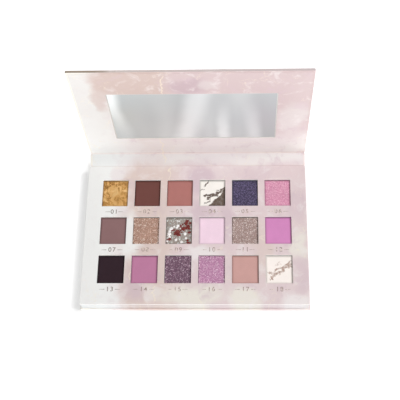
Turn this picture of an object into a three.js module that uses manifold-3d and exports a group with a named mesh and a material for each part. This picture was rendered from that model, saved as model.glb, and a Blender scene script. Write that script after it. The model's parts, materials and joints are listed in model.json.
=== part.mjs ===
// Eighteen-pan eyeshadow palette in a hinged book-style cardboard case.
// Millimetres, +Z up. The origin is on the underside, below the middle of the tray.
// The tray opens towards -Y. The spine and the mirrored lid hinge behind it, at +Y.
// Rest pose: the lid stands upright, held by a spine that leans back.

import * as THREE from "three";
import { mergeVertices } from "three/addons/utils/BufferGeometryUtils.js";
import Module from "manifold-3d";

const wasm = await Module();
wasm.setup();

// ---- Driving dimensions -------------------------------------------------

const trayHeight = 13.5; // underside of the case to the top of the printed card
const trayWall = 2;
const coverOverhang = 1; // how far the cover boards stand out past the tray
const boardCorner = 0.6;

const paper = 0.2; // printed wrap and lining
const glueGap = 0.05; // between layers that are glued together
const lidBoardThickness = 0.8;
const mirrorFrameThickness = 1.2;
const cardThickness = 1.2;
const sheetThickness = 0.2; // double-sided adhesive

const hingeGutter = 1.5; // bare paper on each side of a fold
const spineGap = 3; // between the tray and the closed spine
const closingGap = 0.3; // between the printed card and the closed lid
const creaseThickness = 0.5;
const creaseClearance = 0.4;
const spineLean = 24; // degrees up from lying flat
const lidLean = 90; // degrees up from lying flat

const panColumns = 6;
const panRows = 3;
const windowWidth = 23;
const windowDepth = 25.7;
const windowCorner = 0.4;
const windowGapX = 6; // bare card between neighbouring windows
const windowGapY = 10.5;
const sideMargin = 13.5; // bare card around the grid of windows
const frontMargin = 18.75;
const backMargin = 14.65;
const panWall = 0.5;
const panFloor = 0.4;
const panHeight = 3.6;
const panClearance = 0.25; // around each pan, in the carrier
const powderClearance = 0.1; // around the powder, in its pan
const powderRecess = 0.5; // below the pan's rim

const mirrorThickness = 1;
const mirrorClearance = 0.3;
const mirrorSideMargin = 28.2; // lid edge to the mirror
const mirrorTopMargin = 32.8; // free edge of the lid to the mirror
const mirrorHingeMargin = 29.6; // upper fold to the mirror
const mirrorTape = 0.1;
const mirrorTapeInset = 6;
const liningInset = 1.8; // turned-in wrap left showing around the lid's lining
const hingeLiningInset = 1; // the same, beside a fold

const magnetRadius = 5;
const magnetThickness = 2;
const keeperThickness = 0.8;
const magnetClearance = 0.2;
const magnetFromSide = 31.5; // magnet centres to the edge of the tray
const magnetFromFront = 9.5;

const discSides = 24;
const cornerSteps = 3; // straight stretches in a quarter round
const keeperHoleSteps = 6;
const cutPast = 1; // how far a cutting shape stands past the face that it cuts
const mergeDistance = 1e-4;

// ---- Places that follow from them ---------------------------------------

const panPitchX = windowWidth + windowGapX;
const panPitchY = windowDepth + windowGapY;
const trayWidth = panColumns * panPitchX - windowGapX + 2 * sideMargin;
const trayDepth = panRows * panPitchY - windowGapY + frontMargin + backMargin;
const gridMiddleY = (frontMargin - backMargin) / 2;
const coverWidth = trayWidth + 2 * coverOverhang;
const coverThickness = paper + lidBoardThickness + mirrorFrameThickness + paper + 3 * glueGap;
const middle = coverThickness / 2;
const spineBoardThickness = coverThickness - 2 * (paper + glueGap);

const lowerPivotY = trayDepth / 2 + spineGap + middle;
const spineLength = trayHeight + closingGap; // pivot to pivot
const lidLength = lowerPivotY + trayDepth / 2 + coverOverhang; // upper pivot to the free edge
const upperPivotY = lowerPivotY + spineLength * Math.cos(THREE.MathUtils.degToRad(spineLean));
const upperPivotZ = middle + spineLength * Math.sin(THREE.MathUtils.degToRad(spineLean));

const trayFloor = paper + glueGap + spineBoardThickness + glueGap;
const cardBottom = trayHeight - cardThickness;
const rimTop = cardBottom - glueGap;
const panBottom = rimTop - panHeight;
const sheetBottom = panBottom - glueGap - sheetThickness;
const platformTop = sheetBottom - glueGap;

const panWidth = windowWidth + 2 * panWall;
const panDepth = windowDepth + 2 * panWall;
const panCorner = windowCorner + panWall;
const innerWidth = trayWidth - 2 * (trayWall + glueGap);
const innerDepth = trayDepth - 2 * (trayWall + glueGap);
const magnetY = magnetFromFront - trayDepth / 2;

// Heights in the lid, measured from its middle plane towards the mirror.
const lidBoardBottom = -middle + paper + glueGap;
const mirrorFrameBottom = lidBoardBottom + lidBoardThickness + glueGap;
const liningBottom = middle - paper;
const mirrorWidth = coverWidth - 2 * mirrorSideMargin;
const mirrorHeight = lidLength - mirrorTopMargin - mirrorHingeMargin;
const mirrorMiddleY = mirrorHingeMargin + mirrorHeight / 2;

const panPlaces = [];
for (let row = 0; row < panRows; row += 1) {
  for (let column = 0; column < panColumns; column += 1) {
    panPlaces.push({
      label: String(row * panColumns + column + 1).padStart(2, "0"),
      x: (column - (panColumns - 1) / 2) * panPitchX,
      y: ((panRows - 1) / 2 - row) * panPitchY + gridMiddleY,
    });
  }
}

const magnetX = trayWidth / 2 - magnetFromSide;
const magnetPlaces = [
  { side: "left", x: -magnetX },
  { side: "right", x: magnetX },
];

// ---- Materials ----------------------------------------------------------

function material(color, roughness, metalness = 0) {
  return new THREE.MeshStandardMaterial({ color, roughness, metalness });
}

const printedPaper = material(0xe6d5d0, 0.55);
const greyboard = material(0xb5aa9c, 0.9);
const whiteBoard = material(0xeeebe5, 0.8);
const corrugatedCard = material(0xc9b594, 0.95);
const adhesive = material(0xe9e4d2, 0.6);
const tinplate = material(0xc9c9c7, 0.35, 1);
const magnetSteel = material(0x8c8f93, 0.3, 1);
const mirrorGlass = material(0xd6dadd, 0.05, 1);

const powderColors = [
  0xd4a050, 0x754840, 0xb87670, 0xf0ebe4, 0x423c64, 0xe191b9,
  0x8f6c70, 0xbe9682, 0xbec3be, 0xf7d7eb, 0xa08c82, 0xd78ac6,
  0x392630, 0xbe7aa0, 0x785a7d, 0xbe7daa, 0xcda096, 0xfff3ee,
];

// ---- Shape helpers ------------------------------------------------------

// A rectangle with round corners, centred on (x, y), drawn into a Shape or a Path.
function roundedRectangle(path, width, depth, corner, x = 0, y = 0) {
  const left = x - width / 2;
  const right = x + width / 2;
  const front = y - depth / 2;
  const back = y + depth / 2;
  path.moveTo(left + corner, front);
  path.lineTo(right - corner, front);
  path.absarc(right - corner, front + corner, corner, -Math.PI / 2, 0);
  path.lineTo(right, back - corner);
  path.absarc(right - corner, back - corner, corner, 0, Math.PI / 2);
  path.lineTo(left + corner, back);
  path.absarc(left + corner, back - corner, corner, Math.PI / 2, Math.PI);
  path.lineTo(left, front + corner);
  path.absarc(left + corner, front + corner, corner, Math.PI, Math.PI * 1.5);
  return path;
}

function outline(width, depth, corner, x = 0, y = 0) {
  return roundedRectangle(new THREE.Shape(), width, depth, corner, x, y);
}

function opening(width, depth, corner, x = 0, y = 0) {
  return roundedRectangle(new THREE.Path(), width, depth, corner, x, y);
}

function roundOpening(radius, x, y) {
  const path = new THREE.Path();
  path.absarc(x, y, radius, 0, Math.PI * 2);
  return path;
}

// A flat layer: the shape extruded upwards from the height bottom.
function layer(shape, bottom, thickness, curveSegments = cornerSteps) {
  const geometry = new THREE.ExtrudeGeometry(shape, {
    depth: thickness,
    bevelEnabled: false,
    curveSegments,
  });
  return geometry.translate(0, 0, bottom);
}

function toSolid(geometry) {
  const bare = geometry.clone();
  bare.deleteAttribute("normal");
  bare.deleteAttribute("uv");
  const merged = mergeVertices(bare, mergeDistance);
  const mesh = new wasm.Mesh({
    numProp: 3,
    vertProperties: merged.attributes.position.array,
    triVerts: Uint32Array.from(merged.index.array),
  });
  return new wasm.Manifold(mesh);
}

function toGeometry(solid) {
  const mesh = solid.getMesh();
  const geometry = new THREE.BufferGeometry();
  geometry.setAttribute("position", new THREE.BufferAttribute(mesh.vertProperties, 3));
  geometry.setIndex(new THREE.BufferAttribute(mesh.triVerts, 1));
  geometry.computeVertexNormals();
  return geometry;
}

function cut(geometry, tools) {
  let solid = toSolid(geometry);
  for (const tool of tools) {
    solid = solid.subtract(toSolid(tool));
  }
  return toGeometry(solid);
}

// A disc whose underside is at the height bottom.
function disc(radius, thickness, x, y, bottom) {
  const geometry = new THREE.CylinderGeometry(radius, radius, thickness, discSides);
  return geometry.rotateX(Math.PI / 2).translate(x, y, bottom + thickness / 2);
}

function piece(name, geometry, look) {
  const mesh = new THREE.Mesh(geometry, look);
  mesh.name = name;
  return mesh;
}

// ---- Tray ---------------------------------------------------------------

// The base cover reaches from the front overhang to the gutter of the lower fold.
function baseCover() {
  const front = -trayDepth / 2 - coverOverhang;
  const back = lowerPivotY - hingeGutter;
  const shape = outline(coverWidth, back - front, boardCorner, 0, (front + back) / 2);
  return [
    piece("base_wrap", layer(shape, 0, paper), printedPaper),
    piece("base_board", layer(shape, paper + glueGap, spineBoardThickness), greyboard),
  ];
}

function trayFrame() {
  const shape = outline(trayWidth, trayDepth, boardCorner);
  shape.holes.push(opening(trayWidth - 2 * trayWall, trayDepth - 2 * trayWall, boardCorner));
  return piece("tray_frame", layer(shape, trayFloor, rimTop - trayFloor), printedPaper);
}

function panPlatform() {
  const shape = outline(innerWidth, innerDepth, boardCorner);
  return piece("pan_platform", layer(shape, trayFloor, platformTop - trayFloor), corrugatedCard);
}

function adhesiveSheet() {
  const shape = outline(innerWidth, innerDepth, boardCorner);
  return piece("adhesive_sheet", layer(shape, sheetBottom, sheetThickness), adhesive);
}

// The carrier keeps the pans apart. Its two blind pockets hold the magnets.
function panCarrier() {
  const shape = outline(innerWidth, innerDepth, boardCorner);
  const holeWidth = panWidth + 2 * panClearance;
  const holeDepth = panDepth + 2 * panClearance;
  for (const place of panPlaces) {
    shape.holes.push(opening(holeWidth, holeDepth, panCorner, place.x, place.y));
  }
  const pocketDepth = magnetThickness + 2 * glueGap;
  const pockets = magnetPlaces.map((place) =>
    disc(magnetRadius + magnetClearance, pocketDepth + cutPast, place.x, magnetY, rimTop - pocketDepth));
  return piece("pan_carrier", cut(layer(shape, panBottom, panHeight), pockets), whiteBoard);
}

function topCard() {
  const shape = outline(trayWidth, trayDepth, boardCorner);
  for (const place of panPlaces) {
    shape.holes.push(opening(windowWidth, windowDepth, windowCorner, place.x, place.y));
  }
  return piece("top_card", layer(shape, cardBottom, cardThickness), printedPaper);
}

function pan(place) {
  const body = layer(outline(panWidth, panDepth, panCorner), 0, panHeight);
  const well = layer(outline(windowWidth, windowDepth, windowCorner), panFloor, panHeight);
  const mesh = piece(`pan_${place.label}`, cut(body, [well]), tinplate);
  mesh.position.set(place.x, place.y, panBottom);
  return mesh;
}

function powder(place, index) {
  const width = windowWidth - 2 * powderClearance;
  const depth = windowDepth - 2 * powderClearance;
  const bottom = panFloor + glueGap;
  const shape = outline(width, depth, windowCorner);
  const geometry = layer(shape, bottom, panHeight - powderRecess - bottom);
  const color = powderColors[index % powderColors.length];
  const mesh = piece(`powder_${place.label}`, geometry, material(color, 0.8));
  mesh.position.set(place.x, place.y, panBottom);
  return mesh;
}

function baseMagnet(place) {
  const bottom = rimTop - glueGap - magnetThickness;
  const geometry = disc(magnetRadius, magnetThickness, place.x, magnetY, bottom);
  return piece(`base_magnet_${place.side}`, geometry, magnetSteel);
}

function tray() {
  const group = new THREE.Group();
  group.add(...baseCover(), trayFrame(), panPlatform(), adhesiveSheet(), panCarrier(), topCard());
  panPlaces.forEach((place, index) => group.add(pan(place), powder(place, index)));
  magnetPlaces.forEach((place) => group.add(baseMagnet(place)));
  return group;
}

// ---- Hinges -------------------------------------------------------------

// A strip of creased paper that fills the gutter around a fold.
function crease(name) {
  const width = 2 * (hingeGutter - creaseClearance);
  const geometry = new THREE.BoxGeometry(coverWidth, width, creaseThickness);
  return piece(name, geometry, printedPaper);
}

// ---- Spine --------------------------------------------------------------

// Drawn lying flat behind the lower fold, which runs through its origin.
function spine() {
  const group = new THREE.Group();
  const front = hingeGutter;
  const back = spineLength - hingeGutter;
  const shape = outline(coverWidth, back - front, boardCorner, 0, (front + back) / 2);
  const liningWidth = coverWidth - 2 * liningInset;
  const lining = outline(liningWidth, back - front, boardCorner, 0, (front + back) / 2);
  group.add(
    piece("spine_wrap", layer(shape, -middle, paper), printedPaper),
    piece("spine_board", layer(shape, lidBoardBottom, spineBoardThickness), greyboard),
    piece("spine_lining", layer(lining, liningBottom, paper), printedPaper),
    crease("lower_hinge_crease"),
  );
  group.position.set(0, lowerPivotY, middle);
  group.rotation.x = THREE.MathUtils.degToRad(spineLean);
  return group;
}

// ---- Lid ----------------------------------------------------------------

function lidSheet(inset, hingeInset) {
  const front = hingeGutter + hingeInset;
  const back = lidLength - inset;
  const width = coverWidth - 2 * inset;
  return outline(width, back - front, boardCorner, 0, (front + back) / 2);
}

function mirrorOpening() {
  const width = mirrorWidth + 2 * mirrorClearance;
  const height = mirrorHeight + 2 * mirrorClearance;
  return opening(width, height, windowCorner, 0, mirrorMiddleY);
}

// The board behind the lining, with the window for the mirror and holes for the keepers.
function mirrorFrame() {
  const shape = lidSheet(0, 0);
  shape.holes.push(mirrorOpening());
  for (const place of magnetPlaces) {
    shape.holes.push(roundOpening(magnetRadius + magnetClearance, place.x, lowerPivotY - magnetY));
  }
  return piece("mirror_frame", layer(shape, mirrorFrameBottom, mirrorFrameThickness, keeperHoleSteps), greyboard);
}

function lidLining() {
  const shape = lidSheet(liningInset, hingeLiningInset);
  shape.holes.push(mirrorOpening());
  return piece("lid_lining", layer(shape, liningBottom, paper), printedPaper);
}

function mirrorAssembly() {
  const glass = outline(mirrorWidth, mirrorHeight, windowCorner, 0, mirrorMiddleY);
  const tapeWidth = mirrorWidth - 2 * mirrorTapeInset;
  const tapeHeight = mirrorHeight - 2 * mirrorTapeInset;
  const tape = outline(tapeWidth, tapeHeight, windowCorner, 0, mirrorMiddleY);
  const glassBottom = mirrorFrameBottom + mirrorTape + glueGap;
  return [
    piece("mirror_tape", layer(tape, mirrorFrameBottom, mirrorTape), adhesive),
    piece("mirror", layer(glass, glassBottom, mirrorThickness), mirrorGlass),
  ];
}

function lidKeeper(place) {
  const bottom = mirrorFrameBottom + glueGap;
  const geometry = disc(magnetRadius, keeperThickness, place.x, lowerPivotY - magnetY, bottom);
  return piece(`lid_keeper_${place.side}`, geometry, magnetSteel);
}

// Drawn lying flat behind the upper fold, which runs through its origin, mirror side up.
function lid() {
  const group = new THREE.Group();
  const shape = lidSheet(0, 0);
  group.add(
    piece("lid_wrap", layer(shape, -middle, paper), printedPaper),
    piece("lid_board", layer(shape, lidBoardBottom, lidBoardThickness), greyboard),
    mirrorFrame(),
    lidLining(),
    ...mirrorAssembly(),
    ...magnetPlaces.map(lidKeeper),
    crease("upper_hinge_crease"),
  );
  group.position.set(0, upperPivotY, upperPivotZ);
  group.rotation.x = THREE.MathUtils.degToRad(lidLean);
  return group;
}

const group = new THREE.Group();
group.add(tray(), spine(), lid());

export default group;
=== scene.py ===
import json
import math
import random

import bmesh
import bpy
from mathutils import Matrix, Vector, noise
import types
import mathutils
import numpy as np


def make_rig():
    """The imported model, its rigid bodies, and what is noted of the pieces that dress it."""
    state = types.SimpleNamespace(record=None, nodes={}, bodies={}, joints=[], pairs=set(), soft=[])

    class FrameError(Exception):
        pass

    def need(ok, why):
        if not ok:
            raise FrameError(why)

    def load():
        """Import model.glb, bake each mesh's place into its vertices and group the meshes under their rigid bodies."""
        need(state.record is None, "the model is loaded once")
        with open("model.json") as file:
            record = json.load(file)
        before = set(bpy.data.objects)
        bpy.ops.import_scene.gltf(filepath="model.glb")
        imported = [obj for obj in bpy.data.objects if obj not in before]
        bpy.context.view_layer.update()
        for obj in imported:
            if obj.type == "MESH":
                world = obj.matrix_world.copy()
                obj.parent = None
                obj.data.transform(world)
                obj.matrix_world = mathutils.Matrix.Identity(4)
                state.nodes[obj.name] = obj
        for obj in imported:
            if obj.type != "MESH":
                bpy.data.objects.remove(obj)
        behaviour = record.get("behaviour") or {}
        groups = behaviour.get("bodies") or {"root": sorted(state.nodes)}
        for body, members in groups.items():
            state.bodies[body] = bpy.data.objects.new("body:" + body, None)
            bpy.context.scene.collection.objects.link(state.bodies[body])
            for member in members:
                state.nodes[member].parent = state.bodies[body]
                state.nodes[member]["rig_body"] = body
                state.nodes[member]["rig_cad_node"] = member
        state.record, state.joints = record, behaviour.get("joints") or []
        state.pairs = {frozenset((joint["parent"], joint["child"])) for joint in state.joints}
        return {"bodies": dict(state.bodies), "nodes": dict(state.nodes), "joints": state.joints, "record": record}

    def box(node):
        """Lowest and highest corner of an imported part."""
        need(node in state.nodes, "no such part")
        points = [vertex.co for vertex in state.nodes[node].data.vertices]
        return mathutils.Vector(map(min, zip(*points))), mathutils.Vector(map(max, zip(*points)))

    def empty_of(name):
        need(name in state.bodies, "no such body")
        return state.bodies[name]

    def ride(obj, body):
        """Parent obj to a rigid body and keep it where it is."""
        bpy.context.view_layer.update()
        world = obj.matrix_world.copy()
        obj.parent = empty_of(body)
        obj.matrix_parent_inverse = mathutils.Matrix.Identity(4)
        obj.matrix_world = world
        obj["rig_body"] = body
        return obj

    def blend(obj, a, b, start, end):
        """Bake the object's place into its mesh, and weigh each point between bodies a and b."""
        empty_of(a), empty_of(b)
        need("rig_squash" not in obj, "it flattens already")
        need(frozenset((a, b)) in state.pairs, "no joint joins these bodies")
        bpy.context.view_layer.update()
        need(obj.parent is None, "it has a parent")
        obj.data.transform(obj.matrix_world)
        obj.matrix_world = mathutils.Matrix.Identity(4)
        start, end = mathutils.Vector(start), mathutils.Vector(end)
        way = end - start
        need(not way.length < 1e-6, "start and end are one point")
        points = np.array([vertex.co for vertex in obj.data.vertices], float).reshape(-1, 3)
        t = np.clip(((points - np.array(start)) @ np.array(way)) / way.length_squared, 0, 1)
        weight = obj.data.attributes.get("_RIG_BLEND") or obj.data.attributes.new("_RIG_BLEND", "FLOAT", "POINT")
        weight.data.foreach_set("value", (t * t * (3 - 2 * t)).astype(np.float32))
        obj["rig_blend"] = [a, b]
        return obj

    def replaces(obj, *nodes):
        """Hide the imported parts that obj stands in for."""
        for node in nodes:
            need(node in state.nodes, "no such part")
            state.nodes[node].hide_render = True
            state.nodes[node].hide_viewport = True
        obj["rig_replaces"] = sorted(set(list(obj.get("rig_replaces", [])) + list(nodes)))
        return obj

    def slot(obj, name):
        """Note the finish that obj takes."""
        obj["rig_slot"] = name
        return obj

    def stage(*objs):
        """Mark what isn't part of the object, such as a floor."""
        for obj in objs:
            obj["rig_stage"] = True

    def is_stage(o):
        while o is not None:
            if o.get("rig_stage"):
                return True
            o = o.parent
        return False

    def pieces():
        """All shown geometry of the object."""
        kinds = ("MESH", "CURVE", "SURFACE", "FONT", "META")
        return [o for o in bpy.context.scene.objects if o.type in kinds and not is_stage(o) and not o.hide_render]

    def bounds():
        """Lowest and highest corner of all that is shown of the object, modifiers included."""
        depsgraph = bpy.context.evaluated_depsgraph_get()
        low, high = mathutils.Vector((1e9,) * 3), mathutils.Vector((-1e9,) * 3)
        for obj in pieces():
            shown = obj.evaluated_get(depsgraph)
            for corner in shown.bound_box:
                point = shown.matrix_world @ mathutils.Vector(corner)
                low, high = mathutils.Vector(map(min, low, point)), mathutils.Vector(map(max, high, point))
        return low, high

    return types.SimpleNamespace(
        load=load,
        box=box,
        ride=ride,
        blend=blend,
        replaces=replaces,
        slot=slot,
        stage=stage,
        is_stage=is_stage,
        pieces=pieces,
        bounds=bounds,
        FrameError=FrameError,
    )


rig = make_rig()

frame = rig.load()
cadBox = [list(corner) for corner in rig.bounds()]
scene = bpy.context.scene

# Places that every piece shares, all from the frame.
pivots = {joint["name"]: Vector(joint["pos_m"]) for joint in frame["joints"]}
lowerFold = pivots["spine_fold"]
upperFold = pivots["lid_fold"]
spineReach = (upperFold - lowerFold).length
spineLean = math.atan2(upperFold.z - lowerFold.z, upperFold.y - lowerFold.y)
halfBoard = lowerFold.z
coverLow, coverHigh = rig.box("base_wrap")
trayLow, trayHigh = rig.box("tray_frame")
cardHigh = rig.box("top_card")[1]
lidLow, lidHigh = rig.box("lid_board")
paper = coverHigh.z - coverLow.z
gutter = lidLow.z - upperFold.z
lidReach = lidHigh.z - upperFold.z
panLabels = [f"{number:02d}" for number in range(1, 19)]


# Placing: a board is drawn lying flat behind its own fold, then lifted to its rest pose.

def flatToTray(point):
    return Vector(point)


def flatToSpine(point):
    across, along, height = point
    back = Vector((0, math.cos(spineLean), math.sin(spineLean)))
    up = Vector((0, -math.sin(spineLean), math.cos(spineLean)))
    return Vector((across, 0, 0)) + lowerFold + back * along + up * height


def flatToLid(point):
    across, along, height = point
    return Vector((across, upperFold.y - height, upperFold.z + along))


# How far along the print each board's fold lies, so that the pattern runs on from tray to lid.
printStart = {"tray": 0.0, "spine": lowerFold.y, "lid": lowerFold.y + spineReach}
lift = {"tray": flatToTray, "spine": flatToSpine, "lid": flatToLid}


# Short ways to make nodes and join them.

def tint(red, green, blue):
    def linear(value):
        value = value / 255
        return value / 12.92 if value <= 0.04045 else ((value + 0.055) / 1.055) ** 2.4
    return (linear(red), linear(green), linear(blue), 1.0)


def addNode(tree, kind, values=None, **settings):
    made = tree.nodes.new(kind)
    for name, setting in settings.items():
        setattr(made, name, setting)
    for socket, value in (values or {}).items():
        if isinstance(value, bpy.types.NodeSocket):
            tree.links.new(value, made.inputs[socket])
        else:
            made.inputs[socket].default_value = value
    return made


def calc(tree, operation, first, second=0.0, third=0.0):
    values = {0: first, 1: second, 2: third}
    return addNode(tree, "ShaderNodeMath", values, operation=operation).outputs[0]


def times(tree, first, second):
    return calc(tree, "MULTIPLY", first, second)


# How far one value is from another, on either side.
def apart(tree, first, second):
    return calc(tree, "ABSOLUTE", calc(tree, "SUBTRACT", first, second))


def parts(tree, vector):
    return addNode(tree, "ShaderNodeSeparateXYZ", {0: vector}).outputs


def moved(tree, operation, first, second=(0, 0, 0)):
    return addNode(tree, "ShaderNodeVectorMath", {0: first, 1: second}, operation=operation).outputs[0]


def scaled(tree, vector, factor):
    values = {0: vector, "Scale": factor}
    return addNode(tree, "ShaderNodeVectorMath", values, operation="SCALE").outputs[0]


def blended(tree, factor, first, second, blendType="MIX"):
    values = {0: factor, 6: first, 7: second}
    made = addNode(tree, "ShaderNodeMix", values, data_type="RGBA", blend_type=blendType)
    return made.outputs[2]


def cloud(tree, vector, scale, detail=2.0, roughness=0.5, distortion=0.0):
    values = {"Vector": vector, "Scale": scale, "Detail": detail, "Roughness": roughness,
              "Distortion": distortion}
    return addNode(tree, "ShaderNodeTexNoise", values).outputs


# A cloud of offsets on every side of zero.
def drift(tree, vector, scale, detail=2.0, roughness=0.5):
    return moved(tree, "SUBTRACT", cloud(tree, vector, scale, detail, roughness)["Color"], (0.5, 0.5, 0.5))


def spread(tree, value, low, high, newLow=0.0, newHigh=1.0):
    values = {"Value": value, "From Min": low, "From Max": high, "To Min": newLow, "To Max": newHigh}
    made = addNode(tree, "ShaderNodeMapRange", values, interpolation_type="SMOOTHSTEP")
    return made.outputs[0]


def ramp(tree, factor, stops):
    made = addNode(tree, "ShaderNodeValToRGB", {0: factor})
    elements = made.color_ramp.elements
    while len(elements) < len(stops):
        elements.new(0.5)
    for element, (position, colour) in zip(elements, stops):
        element.position = position
        element.color = colour
    return made.outputs[0]


def newGroup(name, inputs, outputs):
    tree = bpy.data.node_groups.new(name, "ShaderNodeTree")
    for label, kind, value in inputs:
        socket = tree.interface.new_socket(label, in_out="INPUT", socket_type=kind)
        socket.default_value = value
    for label, kind in outputs:
        tree.interface.new_socket(label, in_out="OUTPUT", socket_type=kind)
    start = tree.nodes.new("NodeGroupInput")
    end = tree.nodes.new("NodeGroupOutput")
    return tree, start.outputs, end.inputs


def useGroup(tree, group, values=None):
    return addNode(tree, "ShaderNodeGroup", values, node_tree=group).outputs


def newMaterial(name, roughness=0.5, metallic=0.0, **settings):
    material = bpy.data.materials.new(name)
    material.use_nodes = True
    tree = material.node_tree
    shader = tree.nodes["Principled BSDF"]
    shader.inputs["Roughness"].default_value = roughness
    shader.inputs["Metallic"].default_value = metallic
    for label, value in settings.items():
        shader.inputs[label].default_value = value
    return material, tree, shader.inputs


def surfacePoint(tree):
    return addNode(tree, "ShaderNodeTexCoord").outputs["Object"]


def surfaceMap(tree):
    return addNode(tree, "ShaderNodeTexCoord").outputs["UV"]


def relief(tree, height, depth, strength=1.0):
    values = {"Height": height, "Distance": depth, "Strength": strength}
    return addNode(tree, "ShaderNodeBump", values).outputs[0]


# The print: pools of watercolour over a pale ground, with thin veins. All sizes are in metres, measured
# on the flat paper: across is 0 at the middle, along is 0 at the middle of the tray and rises to the lid.
inks = {
    "white": (243, 243, 241), "milk": (237, 230, 229), "cream": (234, 228, 219), "rose": (224, 206, 207),
    "beige": (221, 202, 195), "mauve": (211, 190, 197), "vein": (246, 234, 212), "gold": (172, 134, 88),
    "lemon": (244, 240, 229), "paintedShadeInk": (238, 235, 234),
}
washes = {
    "width": 0.197, "warp": 0.026, "fineWarp": 0.007, "shiver": 0.014,
    # each cloud's scale, detail, roughness and distortion
    "clouds": {"broad": (34, 2, 0.55), "fine": (130, 4, 0.62), "stain": (75, 4, 0.62),
               "shiver": (120, 3, 0.6), "fold": (30, 4, 0.62, 0.6), "break": (60, 2),
               "gilt": (9, 3, 0.5), "grain": (1400, 2, 0.6)},
    # the ground goes from bare paper at the left to rose
    "ground": [(0.00, "white"), (0.11, "white"), (0.165, "milk"), (0.21, "beige"), (0.36, "beige"),
               (0.44, "rose"), (1.00, "rose")],
    # painted light: paler ink across the spine and the foot of the lid, where the tray shades them. ink, middle along,
    # half length, strength
    "paintedLightBands": [("milk", 0.096, 0.034, 0.80)],
    # painted shade: the print darkens a little towards the head of the lid, where the lamps light it more: from, to
    "paintedShadeAlong": (0.095, 0.165),
    # pools: ink, middle across, middle along, half width, half length, strength
    "pools": [
        ("beige", -0.066, 0.205, 0.017, 0.026, 1.0), ("mauve", 0.000, 0.198, 0.016, 0.014, 0.9),
        ("milk", 0.014, 0.199, 0.009, 0.008, 0.6),
        ("milk", 0.084, 0.148, 0.014, 0.026, 0.8), ("beige", -0.076, 0.176, 0.007, 0.016, 0.7),
        ("white", -0.066, 0.099, 0.027, 0.022, 1.0), ("beige", -0.037, 0.098, 0.011, 0.024, 0.8),
        ("cream", -0.015, 0.094, 0.017, 0.010, 0.9), ("cream", 0.088, 0.096, 0.016, 0.014, 0.9),
        ("cream", -0.016, 0.0785, 0.014, 0.007, 0.9), ("cream", 0.060, 0.0785, 0.036, 0.007, 0.9),
        ("white", -0.074, 0.080, 0.015, 0.012, 0.6),
        ("mauve", 0.004, 0.052, 0.012, 0.018, 0.9), ("milk", 0.023, 0.060, 0.012, 0.008, 0.2),
        ("milk", -0.068, 0.058, 0.008, 0.010, 0.8), ("mauve", 0.058, 0.058, 0.014, 0.010, 0.35),
        ("mauve", 0.006, 0.018, 0.016, 0.012, 0.8), ("white", -0.057, -0.004, 0.009, 0.026, 0.9),
        ("mauve", 0.029, 0.010, 0.009, 0.022, 0.7), ("milk", 0.008, -0.019, 0.018, 0.006, 0.9),
        ("cream", 0.093, -0.010, 0.008, 0.016, 0.9), ("mauve", 0.095, -0.036, 0.010, 0.016, 0.6),
        ("beige", 0.058, -0.016, 0.010, 0.030, 0.7), ("mauve", -0.051, -0.052, 0.011, 0.016, 0.75),
        ("milk", -0.036, -0.058, 0.008, 0.012, 0.6), ("white", -0.074, -0.058, 0.010, 0.016, 0.8),
        ("cream", -0.004, -0.058, 0.030, 0.012, 1.0), ("cream", 0.043, -0.059, 0.016, 0.012, 1.0),
        ("milk", 0.088, -0.060, 0.013, 0.010, 0.9), ("mauve", 0.090, 0.026, 0.012, 0.014, 0.5),
    ],
    # a pool fades between these parts of its half width
    "poolFade": (0.45, 1.25),
    # the painted light bands and the stains are mostly where there is ink: from and to across, and their strengths
    # there
    "inked": (0.08, 0.24, 0.15, 1.0),
    # each stain lies where its cloud runs from one value to another, and has its least and most
    "stains": [("mauve", 0.52, 0.72, 0.0, 0.55), ("milk", 0.48, 0.30, 0.0, 0.5)],
    # a drawn vein fades from its middle line, and at its ends; fine hairs come and go
    "veinSide": (0.0002, 0.0009), "veinEnd": 0.002, "veinStrength": 0.6,
    "hairSide": (0.001, 0.010), "hairBreak": (0.48, 0.64, 0.0, 0.6),
    "giltSide": (0.0012, 0.0045), "giltBreak": (0.36, 0.50),
    # veins run along the paper: where across, from, to
    "veins": [(-0.0235, 0.186, 0.214), (-0.031, 0.074, 0.112), (-0.0235, 0.046, 0.065),
              (-0.055, -0.046, -0.028), (-0.034, -0.064, -0.050)],
}


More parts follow.
